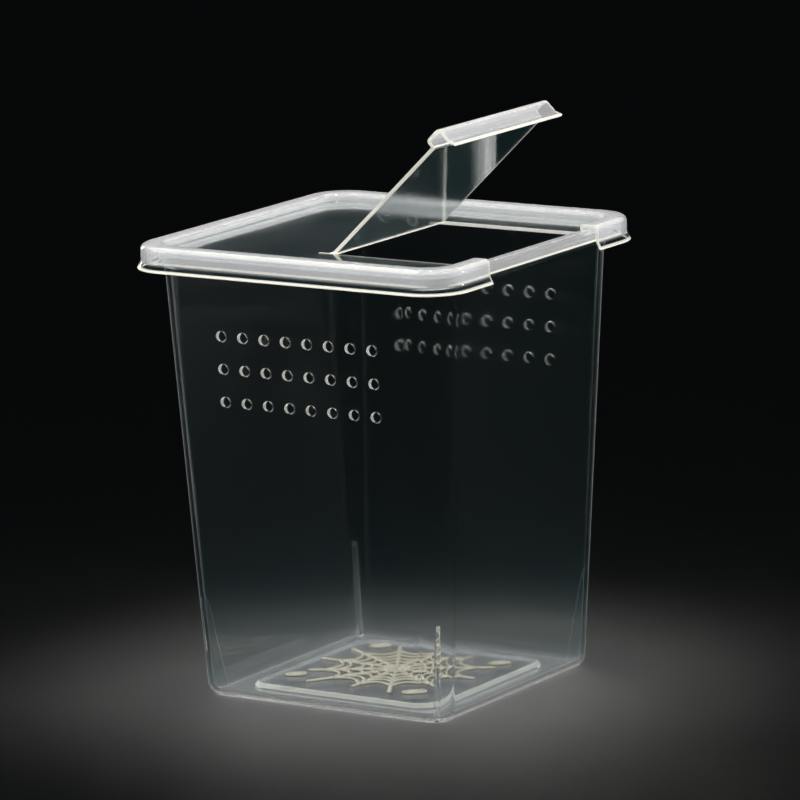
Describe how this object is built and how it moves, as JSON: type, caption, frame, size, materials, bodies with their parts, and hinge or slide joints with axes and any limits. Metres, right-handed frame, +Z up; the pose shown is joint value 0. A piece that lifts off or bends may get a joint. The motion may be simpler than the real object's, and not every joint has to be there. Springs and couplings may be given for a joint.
{
  "type": "ventilated keeping box",
  "caption": "Clear square plastic box with tapered walls, vent holes, and a push-on lid with a hinged feeding door.",
  "frame": {"origin": "middle of the foot, on the surface that the box stands on", "axes": "+Z up through the mouth, +X from the hinge towards the door's free edge, +Y towards the back wall; vents are on the -Y and +Y walls"},
  "size_m": [0.0908, 0.0908, 0.1393],
  "materials": {
    "tub_plastic": "clear, slightly milky near the foot and the corners, glossy",
    "lid_plastic": "clear pane and translucent white rim, glossy"
  },
  "bodies": {
    "tub": {"tub": "tub_plastic"},
    "lid": {"lid_frame": "lid_plastic", "living_hinge": "lid_plastic"},
    "flap": {"flap": "lid_plastic"}
  },
  "joints": [
    {"name": "lid_lift", "type": "slide", "parent": "tub", "child": "lid", "axis": [0, 0, 1], "range_m": [0, 0.04]},
    {"name": "flap_hinge", "type": "hinge", "parent": "lid", "child": "flap", "pos_m": [0.0003, 0, 0.108], "axis": [0, -1, 0], "range_deg": [-43.4, 121.6]}
  ]
}
